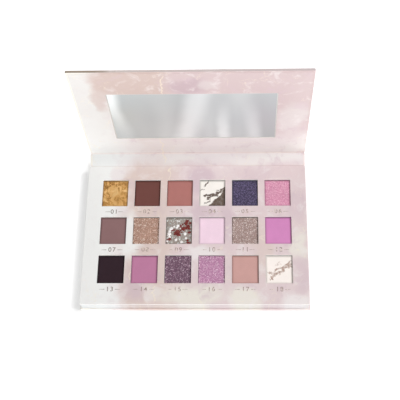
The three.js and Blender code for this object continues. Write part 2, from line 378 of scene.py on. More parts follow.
def washGroup():
    tree, start, end = newGroup(
        "colourWash",
        [("Place", "NodeSocketVector", (0, 0, 0)), ("Gold", "NodeSocketFloat", 0.0)],
        [("Color", "NodeSocketColor"), ("Gold Mask", "NodeSocketFloat")])
    place = start["Place"]
    clouds = washes["clouds"]
    warped = moved(tree, "ADD", place, scaled(tree, drift(tree, place, *clouds["broad"]), washes["warp"]))
    ruffle = scaled(tree, drift(tree, place, *clouds["fine"]), washes["fineWarp"])
    warped = moved(tree, "ADD", warped, ruffle)
    split = parts(tree, warped)
    across = calc(tree, "ADD", calc(tree, "DIVIDE", split[0], washes["width"]), 0.5)
    colour = ramp(tree, across, [(at, tint(*inks[ink])) for at, ink in washes["ground"]])
    for ink, x, y, halfWidth, halfLength, strength in washes["pools"]:
        values = {"Vector": warped, "Location": (-x / halfWidth, -y / halfLength, 0),
                  "Scale": (1 / halfWidth, 1 / halfLength, 0)}
        local = addNode(tree, "ShaderNodeMapping", values).outputs[0]
        reach = addNode(tree, "ShaderNodeVectorMath", {0: local}, operation="LENGTH").outputs["Value"]
        share = spread(tree, reach, *washes["poolFade"], strength, 0.0)
        colour = blended(tree, share, colour, tint(*inks[ink]))
    inked = spread(tree, across, *washes["inked"])
    # painted light: the paler band on the spine and the foot of the lid
    for ink, middleAlong, halfLength, amount in washes["paintedLightBands"]:
        away = apart(tree, split[1], middleAlong)
        share = spread(tree, away, halfLength * 0.4, halfLength * 1.1, amount, 0.0)
        colour = blended(tree, times(tree, share, inked), colour, tint(*inks[ink]))
    # painted shade, darker towards the head of the lid
    towardsHeadShade = spread(tree, split[1], *washes["paintedShadeAlong"])
    colour = blended(tree, towardsHeadShade, colour, tint(*inks["paintedShadeInk"]), "MULTIPLY")
    stain = cloud(tree, warped, *clouds["stain"])["Fac"]
    for ink, *fade in washes["stains"]:
        share = times(tree, spread(tree, stain, *fade), inked)
        colour = blended(tree, share, colour, tint(*inks[ink]))
    # the drawn veins, and finer ones where a folded cloud crosses its middle value
    shaken = moved(tree, "ADD", place, scaled(tree, drift(tree, place, *clouds["shiver"]), washes["shiver"]))
    bent = parts(tree, shaken)
    soft = washes["veinEnd"]
    vein = 0.0
    for x, low, high in washes["veins"]:
        line = spread(tree, apart(tree, bent[0], x), *washes["veinSide"], 1.0, 0.0)
        inside = times(tree, spread(tree, bent[1], low - soft, low + soft),
                       spread(tree, bent[1], high - soft, high + soft, 1.0, 0.0))
        vein = calc(tree, "MAXIMUM", vein, times(tree, line, inside))
    fold = cloud(tree, moved(tree, "ADD", warped, (0.7, 0.3, 0.0)), *clouds["fold"])["Fac"]
    crossing = spread(tree, apart(tree, fold, 0.5), *washes["hairSide"], 1.0, 0.0)
    broken = spread(tree, cloud(tree, place, *clouds["break"])["Fac"], *washes["hairBreak"])
    vein = calc(tree, "MAXIMUM", vein, times(tree, crossing, broken))
    colour = blended(tree, times(tree, vein, washes["veinStrength"]), colour, tint(*inks["vein"]))
    # gilded veins of the outside: long and thin, each broken here and there
    swirl = cloud(tree, moved(tree, "ADD", warped, (0.2, 0.9, 0.0)), *clouds["gilt"])["Fac"]
    seam = spread(tree, apart(tree, swirl, 0.5), *washes["giltSide"], 1.0, 0.0)
    goldMask = times(tree, seam, start["Gold"])
    goldMask = times(tree, goldMask, spread(tree, stain, *washes["giltBreak"]))
    colour = blended(tree, goldMask, colour, tint(*inks["gold"]))
    shade = spread(tree, cloud(tree, place, *clouds["grain"])["Fac"], 0.3, 0.7, 0.975, 1.0)
    level = addNode(tree, "ShaderNodeCombineColor", {0: shade, 1: shade, 2: shade}).outputs[0]
    tree.links.new(blended(tree, 1.0, colour, level, "MULTIPLY"), end["Color"])
    tree.links.new(goldMask, end["Gold Mask"])
    return tree


# Paper tooth: a fine height field and a slight unevenness of gloss.
def toothGroup():
    tree, start, end = newGroup(
        "paperTooth",
        [("Place", "NodeSocketVector", (0, 0, 0)), ("Scale", "NodeSocketFloat", 2500.0)],
        [("Height", "NodeSocketFloat"), ("Gloss", "NodeSocketFloat")])
    fibre = addNode(tree, "ShaderNodeMapping", {"Vector": start["Place"], "Scale": (1, 0.35, 1)})
    long = cloud(tree, fibre.outputs[0], start["Scale"], 4, 0.7)["Fac"]
    soft = cloud(tree, start["Place"], 140, 3, 0.5)["Fac"]
    tree.links.new(long, end["Height"])
    tree.links.new(soft, end["Gloss"])
    return tree


# Powder grain: pressed powder is never one colour, and its face has a fine tooth.
def grainGroup():
    tree, start, end = newGroup(
        "powderGrain",
        [("Place", "NodeSocketVector", (0, 0, 0)), ("Base", "NodeSocketColor", (0.5, 0.5, 0.5, 1)),
         ("Contrast", "NodeSocketFloat", 0.1), ("Grain Size", "NodeSocketFloat", 0.0003)],
        [("Color", "NodeSocketColor"), ("Height", "NodeSocketFloat")])
    grains = calc(tree, "DIVIDE", 1.0, start["Grain Size"])
    speck = cloud(tree, start["Place"], grains, 3, 0.7)["Fac"]
    mottle = cloud(tree, start["Place"], 130, 2, 0.5)["Fac"]
    both = calc(tree, "ADD", times(tree, speck, 0.7), times(tree, mottle, 0.3))
    offset = times(tree, calc(tree, "SUBTRACT", both, 0.5), start["Contrast"])
    level = calc(tree, "ADD", times(tree, offset, 4.0), 1.0)
    scale = addNode(tree, "ShaderNodeCombineColor", {0: level, 1: level, 2: level}).outputs[0]
    tree.links.new(blended(tree, 1.0, start["Base"], scale, "MULTIPLY"), end["Color"])
    tree.links.new(speck, end["Height"])
    return tree


# Shimmer: tiny flat plates that each catch the light at their own angle.
def shimmerGroup():
    tree, start, end = newGroup(
        "shimmerPlates",
        [("Place", "NodeSocketVector", (0, 0, 0)), ("Plate Size", "NodeSocketFloat", 0.0004)],
        [("Tone", "NodeSocketFloat"), ("Tilt", "NodeSocketFloat")])
    count = calc(tree, "DIVIDE", 1.0, start["Plate Size"])
    cells = addNode(tree, "ShaderNodeTexVoronoi", {"Vector": start["Place"], "Scale": count})
    chance = addNode(tree, "ShaderNodeSeparateColor", {0: cells.outputs["Color"]}).outputs
    tree.links.new(chance[0], end["Tone"])
    tree.links.new(chance[1], end["Tilt"])
    return tree


wash = washGroup()
tooth = toothGroup()
grain = grainGroup()
shimmer = shimmerGroup()


# Materials. Printed paper comes first, since nearly everything wears it.

def printedPaper(name, look):
    material, tree, shader = newMaterial(name, 0.42, **{"Specular IOR Level": 0.45})
    place = surfaceMap(tree)
    washed = useGroup(tree, wash, {"Place": place, "Gold": look["gold"]})
    surface = useGroup(tree, tooth, {"Place": place})
    colour = blended(tree, 1.0, washed["Color"], tint(*look["shade"]), "MULTIPLY")
    if "leftEdge" in look:
        # the turned-in border is a warmer white down the left side
        across = parts(tree, place)[0]
        colour = blended(tree, spread(tree, across, -0.095, -0.070, 0.7, 0.0), colour,
                         tint(*inks[look["leftEdge"]]))
    tree.links.new(colour, shader["Base Color"])
    tree.links.new(spread(tree, surface["Gloss"], 0.3, 0.7, 0.36, 0.5), shader["Roughness"])
    tree.links.new(times(tree, washed["Gold Mask"], 0.8), shader["Metallic"])
    tree.links.new(relief(tree, surface["Height"], 0.00002, 0.35), shader["Normal"])
    return material


# The groove round a wrapped edge, and the outermost edge itself, are darker at the head of the lid: partly the gold
# print wrapping round the edge, partly painted shade in the groove and along the edge.
rimShadeLook = {"left": (166, 150, 134), "middle": (216, 204, 200), "right": (204, 190, 190),
           "below": (236, 226, 218), "from": 0.125, "fade": 0.008, "wander": 0.15, "change": (0.12, 0.20)}


def rimShadePaper():
    material, tree, shader = newMaterial("rimShadePaper", 0.5)
    place = surfacePoint(tree)
    across = parts(tree, place)[0]
    share = calc(tree, "ADD", calc(tree, "DIVIDE", across, washes["width"]), 0.5)
    rimWander = drift(tree, place, 160, 3, 0.6)
    nudge = parts(tree, rimWander)[0]
    share = calc(tree, "ADD", share, times(tree, nudge, rimShadeLook["wander"]))
    changeFrom, changeTo = rimShadeLook["change"]
    colour = ramp(tree, share, [(0.0, tint(*rimShadeLook["left"])), (changeFrom, tint(*rimShadeLook["left"])),
                                (changeTo, tint(*rimShadeLook["middle"])), (1.0, tint(*rimShadeLook["right"]))])
    # only the head of the lid gets the darker colours, painted shade among them
    rise = parts(tree, place)[2]
    head = spread(tree, rise, rimShadeLook["from"], rimShadeLook["from"] + rimShadeLook["fade"])
    colour = blended(tree, head, tint(*rimShadeLook["below"]), colour)
    tree.links.new(colour, shader["Base Color"])
    tree.links.new(spread(tree, nudge, -0.2, 0.2, 0.4, 0.6), shader["Roughness"])
    return material


def cutBoard(name, core, layers):
    # the cut edge of a board shows its pressed layers as faint lines
    material, tree, shader = newMaterial(name, 0.85)
    place = surfacePoint(tree)
    stretched = addNode(tree, "ShaderNodeMapping", {"Vector": place, "Scale": (60, 60, layers)})
    lines = cloud(tree, stretched.outputs[0], 1.0, 3, 0.6)["Fac"]
    dark = tuple(part * 0.8 for part in core[:3]) + (1.0,)
    tree.links.new(ramp(tree, lines, [(0.3, dark), (0.6, core)]), shader["Base Color"])
    fuzz = cloud(tree, place, 3000, 3, 0.7)["Fac"]
    tree.links.new(relief(tree, fuzz, 0.00004, 0.5), shader["Normal"])
    return material


# Foil on the bare left of the card is coloured dark, a painted reflection of a dark room; over the ink it is coloured
# pale in patches with darker patches between, painted highlight and painted shade.
foilPaintedLightLook = {"dark": (132, 118, 108), "pale": (236, 222, 208), "shadow": (162, 140, 133), "change": -0.058,
            "fade": 0.004}


def foilInk():
    material, tree, shader = newMaterial("foilInk", 0.4, 0.25)
    place = surfacePoint(tree)
    across = parts(tree, place)[0]
    patch = cloud(tree, place, 620, 2, 0.6)["Fac"]
    # painted shade and painted highlight in patches over the ink
    overInkShadeAndHighlight = ramp(tree, patch, [(0.50, tint(*foilPaintedLightLook["shadow"])), (0.62, tint(*foilPaintedLightLook["pale"]))])
    change, fade = foilPaintedLightLook["change"], foilPaintedLightLook["fade"]
    # painted reflection: the foil is dark over the bare left of the card
    share = spread(tree, across, change - fade, change + fade)
    tree.links.new(blended(tree, share, tint(*foilPaintedLightLook["dark"]), overInkShadeAndHighlight), shader["Base Color"])
    tree.links.new(spread(tree, patch, 0.3, 0.7, 0.3, 0.5), shader["Roughness"])
    tree.links.new(relief(tree, patch, 0.00003, 0.4), shader["Normal"])
    return material


def tinplate():
    material, tree, shader = newMaterial("tinplate", 0.3, 1.0)
    place = surfacePoint(tree)
    rolled = addNode(tree, "ShaderNodeMapping", {"Vector": place, "Scale": (40, 2200, 400)})
    streak = cloud(tree, rolled.outputs[0], 1.0, 3, 0.6)["Fac"]
    tree.links.new(ramp(tree, streak, [(0.3, tint(170, 170, 170)), (0.7, tint(212, 211, 208))]),
                   shader["Base Color"])
    tree.links.new(spread(tree, streak, 0.3, 0.7, 0.22, 0.42), shader["Roughness"])
    return material


# The mirror is coloured grey with soft upright light streaks, a painted reflection of what a satin protective film
# would blur into streaks; the glass is also partly metallic and reflects a little.
# A streak: where it stands across at the foot of the glass, how far it leans per metre of height,
# its half width, its strength at the foot and at the head of the glass.
mirrorPaintedStreaks = {
    "light": (246, 250, 250), "dark": (191, 197, 198), "waver": 0.010,
    "streaks": [(-0.062, -0.10, 0.008, 0.30, 0.95), (-0.007, 0.16, 0.011, 0.90, 0.50),
                (0.012, 0.05, 0.010, 0.40, 0.15), (0.025, 0.02, 0.006, 0.80, 0.05),
                (0.036, 0.06, 0.013, 0.30, 0.28), (0.051, -0.05, 0.007, 0.55, 0.00),
                (-0.022, 0.00, 0.012, 0.35, 0.10), (-0.042, 0.00, 0.020, 0.26, 0.10)],
}


def mirrorGlass():
    material, tree, shader = newMaterial("mirrorGlass", 0.4, 0.4)
    place = surfacePoint(tree)
    waver = scaled(tree, drift(tree, place, 26, 2), mirrorPaintedStreaks["waver"])
    split = parts(tree, moved(tree, "ADD", place, waver))
    foot, head = (corner.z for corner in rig.box("mirror"))
    rise = spread(tree, split[2], foot, head)
    total = 0.0
    # each streak is a painted reflection in the glass's colour
    for start, lean, halfWidth, low, high in mirrorPaintedStreaks["streaks"]:
        height = calc(tree, "SUBTRACT", split[2], foot)
        middle = calc(tree, "ADD", times(tree, height, lean), start)
        away = apart(tree, split[0], middle)
        body = spread(tree, away, halfWidth * 0.1, halfWidth * 1.4, 1.0, 0.0)
        strength = calc(tree, "ADD", times(tree, rise, high - low), low)
        total = calc(tree, "ADD", times(tree, body, strength), total)
    lit = calc(tree, "MINIMUM", total, 1.0)
    colour = blended(tree, lit, tint(*mirrorPaintedStreaks["dark"]), tint(*mirrorPaintedStreaks["light"]))
    tree.links.new(colour, shader["Base Color"])
    tree.links.new(spread(tree, lit, 0.0, 1.0, 0.38, 0.5), shader["Roughness"])
    return material


# Board, tape and steel that stay inside the case.
def hiddenStuff(name, colour, roughness=0.9, metallic=0.0):
    material, tree, shader = newMaterial(name, roughness, metallic)
    speck = cloud(tree, surfacePoint(tree), 1800, 4, 0.75)["Fac"]
    pale = tuple(min(part * 1.15, 1.0) for part in colour[:3]) + (1.0,)
    dark = tuple(part * 0.75 for part in colour[:3]) + (1.0,)
    tree.links.new(ramp(tree, speck, [(0.35, dark), (0.5, colour), (0.7, pale)]), shader["Base Color"])
    tree.links.new(relief(tree, speck, 0.00004, 0.5), shader["Normal"])
    return material


# Each cake is coloured darker along its edges: painted shade, as in the recess under the card's window. The map runs
# from 0 to 1 across the pan.
edgeShadeLook = {"width": 0.085, "strength": 0.30}


def paintedEdgeShade(tree, colour):
    # painted shade: darker towards every edge of the cake
    split = parts(tree, surfaceMap(tree))
    gaps = [calc(tree, "SUBTRACT", 0.5, apart(tree, split[axis], 0.5))
            for axis in (0, 1)]
    share = spread(tree, calc(tree, "MINIMUM", *gaps), 0.0, edgeShadeLook["width"], edgeShadeLook["strength"], 0.0)
    return blended(tree, share, colour, (0, 0, 0, 1))


def mattePowder(name, base):
    material, tree, shader = newMaterial(name, 0.92, **{"Specular IOR Level": 0.2, "Sheen Weight": 0.06})
    cake = useGroup(tree, grain, {"Place": surfacePoint(tree), "Base": tint(*base), "Contrast": 0.10})
    tree.links.new(paintedEdgeShade(tree, cake["Color"]), shader["Base Color"])
    tree.links.new(relief(tree, cake["Height"], 0.00005, 0.45), shader["Normal"])
    return material


def shimmerPowder(name, base, bright, plateSize, share):
    material, tree, shader = newMaterial(name, 0.5, 0.2)
    place = surfacePoint(tree)
    cake = useGroup(tree, grain, {"Place": place, "Base": tint(*base), "Contrast": 0.22})
    plates = useGroup(tree, shimmer, {"Place": place, "Plate Size": plateSize})
    lit = spread(tree, plates["Tone"], 1.0 - share, 1.0)
    lively = blended(tree, lit, cake["Color"], tint(*bright))
    tree.links.new(paintedEdgeShade(tree, lively), shader["Base Color"])
    tree.links.new(calc(tree, "ADD", times(tree, lit, 0.6), 0.15), shader["Metallic"])
    tree.links.new(spread(tree, plates["Tone"], 0.0, 1.0, 0.62, 0.3), shader["Roughness"])
    tree.links.new(relief(tree, plates["Tilt"], 0.00008, 0.6), shader["Normal"])
    return material


# Gold pressed in crumples: creases, their flanks, the faces between them and the crests. The creases and flanks are
# coloured darker and the crests lighter, painted shade and painted highlight on the same folds that bend the normals.
goldShadeAndHighlight = {"flankShade": (206, 154, 84), "crestHighlight": (250, 212, 150), "soft": (214, 160, 88)}


def goldPowder(name, base, crease):
    material, tree, shader = newMaterial(name, 0.42, 0.45)
    place = surfacePoint(tree)
    bend = drift(tree, place, 80, 3)
    bent = moved(tree, "ADD", place, scaled(tree, bend, 0.010))
    fold = cloud(tree, bent, 105, 4, 0.62, 0.8)["Fac"]
    crack = apart(tree, fold, 0.5)
    # painted shade in the creases and on their flanks, painted highlight on the crests
    shade = ramp(tree, crack, [(0.0, tint(*crease)), (0.022, tint(*goldShadeAndHighlight["flankShade"])),
                               (0.075, tint(*base)), (0.2, tint(*goldShadeAndHighlight["crestHighlight"]))])
    soft = cloud(tree, place, 60, 2)["Fac"]
    shade = blended(tree, spread(tree, soft, 0.42, 0.62, 0.0, 0.45), shade, tint(*goldShadeAndHighlight["soft"]))
    cake = useGroup(tree, grain, {"Place": place, "Base": shade, "Contrast": 0.12})
    tree.links.new(paintedEdgeShade(tree, cake["Color"]), shader["Base Color"])
    tree.links.new(spread(tree, fold, 0.3, 0.7, 0.5, 0.36), shader["Roughness"])
    tree.links.new(relief(tree, crack, 0.0020, 0.35), shader["Normal"])
    return material


def glitterBed(name, base):
    material, tree, shader = newMaterial(name, 0.6, 0.25)
    place = surfacePoint(tree)
    cake = useGroup(tree, grain, {"Place": place, "Base": tint(*base), "Contrast": 0.3,
                                  "Grain Size": 0.0006})
    tree.links.new(paintedEdgeShade(tree, cake["Color"]), shader["Base Color"])
    tree.links.new(relief(tree, cake["Height"], 0.0002, 0.6), shader["Normal"])
    return material


def glitterFlakes(name, shades, roughness=0.42):
    # each flake carries its own tone, which picks its shade
    material, tree, shader = newMaterial(name, roughness, 0.3)
    tone = addNode(tree, "ShaderNodeAttribute", attribute_name="flakeTone").outputs["Fac"]
    stops = [(index / (len(shades) - 1), tint(*shade)) for index, shade in enumerate(shades)]
    tree.links.new(ramp(tree, tone, stops), shader["Base Color"])
    tree.links.new(spread(tree, tone, 0.0, 1.0, roughness + 0.15, roughness - 0.08), shader["Roughness"])
    return material


def pearlWhite():
    material, tree, shader = newMaterial("pearlWhite", 0.22, 0.0, **{"Coat Weight": 0.6})
    swirl = cloud(tree, surfacePoint(tree), 700, 2)["Fac"]
    tree.links.new(ramp(tree, swirl, [(0.35, tint(232, 226, 226)), (0.65, tint(252, 250, 248))]),
                   shader["Base Color"])
    return material


def starFoil():
    material, tree, shader = newMaterial("starFoil", 0.45, 0.35)
    speck = cloud(tree, surfacePoint(tree), 1500, 3, 0.6)["Fac"]
    tree.links.new(ramp(tree, speck, [(0.35, tint(88, 26, 26)), (0.65, tint(150, 62, 56))]),
                   shader["Base Color"])
    tree.links.new(relief(tree, speck, 0.00006, 0.5), shader["Normal"])
    return material


# Two poured colours that were drawn through each other. The map runs from 0 to 1 across the pan,
# and so do the lengths here: how softly a stroke ends, and how softly a pool does.
strokeEnd = 0.04
poolEdge = 0.02


def marbledPowder(name, look):
    material, tree, shader = newMaterial(name, 0.55, **{"Specular IOR Level": 0.35})
    place = surfaceMap(tree)
    bend = scaled(tree, drift(tree, place, look["wobble"], 3, 0.55), look["bend"])
    frill = scaled(tree, drift(tree, place, 11, 3, 0.6), look["frill"])
    warped = moved(tree, "ADD", moved(tree, "ADD", place, bend), frill)
    split = parts(tree, warped)
    total = 0.0
    for stroke in look["strokes"]:
        # a stroke runs along a slope, and is full between two ends and within half its width
        middle = calc(tree, "ADD", times(tree, split[0], stroke["slope"]), stroke["height"])
        away = apart(tree, split[1], middle)
        body = spread(tree, away, stroke["width"] * 0.6, stroke["width"], 1.0, 0.0)
        begins = spread(tree, split[0], stroke["from"] - strokeEnd, stroke["from"] + strokeEnd)
        ends = spread(tree, split[0], stroke["to"] - strokeEnd, stroke["to"] + strokeEnd, 1.0, 0.0)
        part = times(tree, body, times(tree, begins, ends))
        part = times(tree, part, stroke.get("strength", 1.0))
        total = calc(tree, "MAXIMUM", total, part)
    if look["pool"]:
        depth = calc(tree, "SUBTRACT", times(tree, split[0], look["pool"]["slope"]),
                     calc(tree, "SUBTRACT", split[1], look["pool"]["height"]))
        total = calc(tree, "MAXIMUM", total, spread(tree, depth, -poolEdge, poolEdge))
    feather = cloud(tree, place, 9, 4, 0.7)["Fac"]
    total = times(tree, total, spread(tree, feather, 0.36, 0.58, look["feather"], 1.0))
    cake = useGroup(tree, grain, {
        "Place": surfacePoint(tree), "Contrast": 0.06,
        "Base": blended(tree, total, tint(*look["light"]), tint(*look["dark"]))})
    tree.links.new(paintedEdgeShade(tree, cake["Color"]), shader["Base Color"])
    tree.links.new(relief(tree, cake["Height"], 0.00005, 0.4), shader["Normal"])
    return material


# The looks themselves. gold is how much foil a print has, and shade is a colour that multiplies the print: for the
# crease, side and spine looks that is painted shade.
paperLooks = {
    "lining": {"gold": 0.0, "shade": (255, 255, 255)},
    "cover": {"gold": 0.9, "shade": (250, 246, 246)},
    "border": {"gold": 0.0, "shade": (252, 250, 249), "leftEdge": "lemon"},
    "crease": {"gold": 0.0, "shade": (250, 245, 243)},
    "side": {"gold": 0.0, "shade": (227, 230, 232)},
    "spine": {"gold": 0.0, "shade": (245, 247, 248)},
}
rosePrint = printedPaper("rosePrint", paperLooks["lining"])
coverPrint = printedPaper("coverPrint", paperLooks["cover"])
borderPrint = printedPaper("borderPrint", paperLooks["border"])
creaseShadedPrint = printedPaper("creaseShadedPrint", paperLooks["crease"])
sideShadedPrint = printedPaper("sideShadedPrint", paperLooks["side"])
spineShadedPrint = printedPaper("spineShadedPrint", paperLooks["spine"])
rim = rimShadePaper()
whiteCore = cutBoard("whiteCore", tint(240, 238, 234), 9000)
foil = foilInk()
tin = tinplate()
mirrorFace = mirrorGlass()
whiteBoard = hiddenStuff("whiteBoard", tint(232, 229, 224))
cardPlatform = hiddenStuff("cardPlatform", tint(196, 172, 138))
tapeLook = hiddenStuff("tapeLook", tint(226, 220, 202))
magnetLook = hiddenStuff("magnetSteel", tint(120, 122, 126), 0.35, 1.0)
print("materials ready")


# Next, what the meshes share.

def addPiece(name, mesh, body, slot, replaced=()):
    piece = bpy.data.objects.new(name, mesh)
    scene.collection.objects.link(piece)
    if body:
        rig.ride(piece, body)
    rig.slot(piece, slot)
    if replaced:
        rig.replaces(piece, *replaced)
    return piece


# A finished mesh; edges steeper than the angle, in degrees, stay sharp.
def meshFrom(shape, name, looks, sharpAngle=None):
    mesh = bpy.data.meshes.new(name)
    shape.to_mesh(mesh)
    shape.free()
    for look in looks:
        mesh.materials.append(look)
    if sharpAngle:
        mesh.set_sharp_from_angle(angle=math.radians(sharpAngle))
    return mesh


cornerSteps = 5
edgeSteps = 3
smallestCorner = 0.00005
boardSharp = 35


# A ring of points around a rectangle with round corners, at one height.
def ring(low, high, corner, height):
    (left, front), (right, back) = low, high
    centres = ((right - corner, back - corner, 0), (left + corner, back - corner, 90),
               (left + corner, front + corner, 180), (right - corner, front + corner, 270))
    points = []
    for x, y, turn in centres:
        for step in range(cornerSteps + 1):
            angle = math.radians(turn + 90 * step / cornerSteps)
            points.append((x + corner * math.cos(angle), y + corner * math.sin(angle), height))
    return points


# Rings joined into one closed skin: with a flat cap on the first and the last, or else with the
# last ring joined to the first. Each stretch has its own look.
def skin(rings, looks, capped=True):
    shape = bmesh.new()
    rows = [[shape.verts.new(point) for point in points] for points in rings]
    count = len(rows[0])
    for index in range(len(rows) - 1 if capped else len(rows)):
        lower, upper = rows[index], rows[(index + 1) % len(rows)]
        for at in range(count):
            after = (at + 1) % count
            face = shape.faces.new((lower[at], lower[after], upper[after], upper[at]))
            face.material_index = looks[index]
    if capped:
        shape.faces.new(list(reversed(rows[0]))).material_index = looks[0]
        shape.faces.new(rows[-1]).material_index = looks[-1]
    bmesh.ops.recalc_face_normals(shape, faces=shape.faces)
    return shape


# Rings that round an edge off, from one height to another, either while the outline grows or
# while it shrinks.
def rounded(low, high, corner, start, finish, radius, growing):
    rings = []
    for step in range(edgeSteps + 1):
        angle = math.radians(90 * step / edgeSteps)
        inset = radius * (1 - (math.sin(angle) if growing else math.cos(angle)))
        rise = radius * (1 - math.cos(angle) if growing else math.sin(angle))
        height = start + (finish - start) * (rise / radius)
        rings.append(ring((low[0] + inset, low[1] + inset), (high[0] - inset, high[1] - inset),
                          max(corner - inset, smallestCorner), height))
    return rings


# A board drawn flat, between two corners given as (across, along), with both edges rounded.
def plate(low, high, corner, bottom, top, roundBottom, roundTop):
    rings = rounded(low, high, corner, bottom, bottom + roundBottom, roundBottom, True)
    rings += rounded(low, high, corner, top - roundTop, top, roundTop, False)
    return rings


def finishMesh(shape, name, board, looks, smooth=True):
    # the print's map is taken while the board still lies flat
    mapLayer = shape.loops.layers.uv.new("printMap")
    for face in shape.faces:
        face.smooth = smooth
        for loop in face.loops:
            across, along, _ = loop.vert.co
            loop[mapLayer].uv = (across, along + printStart[board])
    for vert in shape.verts:
        vert.co = lift[board](vert.co)
    return meshFrom(shape, name, looks, boardSharp if smooth else None)


# The case. Every board is wrapped in printed paper, so its edges are softly rounded. Boards stay
# a hair below the paper that lies on them.
caseLook = {"edge": 0.00040, "corner": 0.0007, "groove": 0.00022, "lidEdge": 0.00025,
            "underPaper": 0.00005, "overTape": 0.00002}


def wrappedBoard(name, board, low, high, bottom, top, replaced):
    edge = caseLook["edge"]
    rings = plate(low, high, caseLook["corner"], bottom, top, edge, edge)
    shape = skin(rings, [0] * 2 + [1] * (len(rings) - 2))
    mesh = finishMesh(shape, name, board, [coverPrint, borderPrint])
    return addPiece(name, mesh, board, "printed_paper", replaced)


def baseCover():
    low, high = (coverLow.x, coverLow.y), (coverHigh.x, coverHigh.y)
    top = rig.box("base_board")[1].z
    return wrappedBoard("baseCover", "tray", low, high, 0.0, top, ["base_wrap", "base_board"])


def spineCover():
    low, high = (coverLow.x, gutter), (coverHigh.x, spineReach - gutter)
    top = halfBoard - paper - caseLook["underPaper"]
    return wrappedBoard("spineCover", "spine", low, high, -halfBoard, top, ["spine_wrap", "spine_board"])


# The window for the mirror, a little larger than the glass.
windowLook = {"air": 0.0003, "corner": 0.0004, "bevelCorner": 0.0005}


def mirrorWindow():
    low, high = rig.box("mirror")
    air = windowLook["air"]
    return (low.x - air, low.z - upperFold.z - air), (high.x + air, high.z - upperFold.z + air)


# The lid's two boards and their wrap in one: a groove runs between the boards all round the edge,
# and the mirror's window is sunk into the inner board.
def lidCover():
    low, high = (lidLow.x, gutter), (lidHigh.x, lidReach)
    top = halfBoard - paper - caseLook["underPaper"]
    floor = upperFold.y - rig.box("mirror_tape")[1].y - caseLook["overTape"]
    seam = upperFold.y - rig.box("mirror_frame")[1].y
    edge, groove, corner = caseLook["lidEdge"], caseLook["groove"], caseLook["corner"]
    window = mirrorWindow()
    rings = rounded(low, high, corner, -halfBoard, -halfBoard + edge, edge, True)
    looks = [0] * (len(rings) - 1)
    rings += rounded(low, high, corner, seam - groove, seam, groove, False)
    rings += rounded(low, high, corner, seam, seam + groove, groove, True)
    looks += [1] * (len(rings) - len(looks))
    rings += rounded(low, high, corner, top - edge, top, edge, False)
    looks += [3] * (len(rings) - len(looks))
    rings.append(ring(*window, windowLook["corner"], top))
    rings.append(ring(*window, windowLook["corner"], floor))
    looks += [2, 2]
    mesh = finishMesh(skin(rings, looks), "lidCover", "lid", [coverPrint, rim, whiteCore, borderPrint])
    return addPiece("lidCover", mesh, "lid", "printed_paper", ["lid_wrap", "lid_board", "mirror_frame"])


# A lining is one sheet of printed paper, pressed down a little at its edges.
liningLook = {"corner": 0.0009, "edge": 0.00008, "underEdge": 0.00002}


def spineLining():
    nodeLow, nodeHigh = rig.box("spine_lining")
    low, high = (nodeLow.x, gutter), (nodeHigh.x, spineReach - gutter)
    rings = plate(low, high, liningLook["corner"], halfBoard - paper, halfBoard,
                  liningLook["underEdge"], liningLook["edge"])
    # the spine's print is darkened a little: painted shade
    mesh = finishMesh(skin(rings, [0] * len(rings)), "spineLining", "spine", [spineShadedPrint])
    return addPiece("spineLining", mesh, "spine", "printed_paper", ["spine_lining"])


def lidLining():
    nodeLow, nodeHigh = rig.box("lid_lining")
    low, high = (nodeLow.x, nodeLow.z - upperFold.z), (nodeHigh.x, nodeHigh.z - upperFold.z)
    windowLow, windowHigh = mirrorWindow()
    bottom, edge, corner = halfBoard - paper, liningLook["edge"], liningLook["corner"]
    rings = [ring(windowLow, windowHigh, windowLook["corner"], bottom), ring(low, high, corner, bottom)]
    rings += rounded(low, high, corner, halfBoard - edge, halfBoard, edge, False)
    rings.append(ring((windowLow[0] - edge, windowLow[1] - edge),
                      (windowHigh[0] + edge, windowHigh[1] + edge), windowLook["bevelCorner"], halfBoard))
    rings.append(ring(windowLow, windowHigh, windowLook["corner"], halfBoard - edge))
    shape = skin(rings, [0] * (len(rings) - 2) + [1, 1], capped=False)
    mesh = finishMesh(shape, "lidLining", "lid", [rosePrint, whiteCore])
    return addPiece("lidLining", mesh, "lid", "printed_paper", ["lid_lining"])


glassShape = {"corner": 0.0005, "backEdge": 0.0001, "faceEdge": 0.0004}


def mirrorPlate():
    low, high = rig.box("mirror")
    bottom, top = upperFold.y - high.y, upperFold.y - low.y
    flatLow, flatHigh = (low.x, low.z - upperFold.z), (high.x, high.z - upperFold.z)
    rings = plate(flatLow, flatHigh, glassShape["corner"], bottom, top, glassShape["backEdge"],
                  glassShape["faceEdge"])
    shape = skin(rings, [1] * (len(rings) - 1) + [0])
    mesh = finishMesh(shape, "mirrorPlate", "lid", [mirrorFace, whiteCore])
    return addPiece("mirrorPlate", mesh, "lid", "mirror_glass", ["mirror"])


# Folds: creased paper that bends between two boards. bend is the part of the gap between the
# boards, from its middle, that does the bending.
foldLook = {"steps": 16, "tuck": 0.0012, "insideDepth": 0.0001, "outsideDepth": 0.00027, "bend": 0.8,
            "narrower": 0.0006, "sharp": 40}


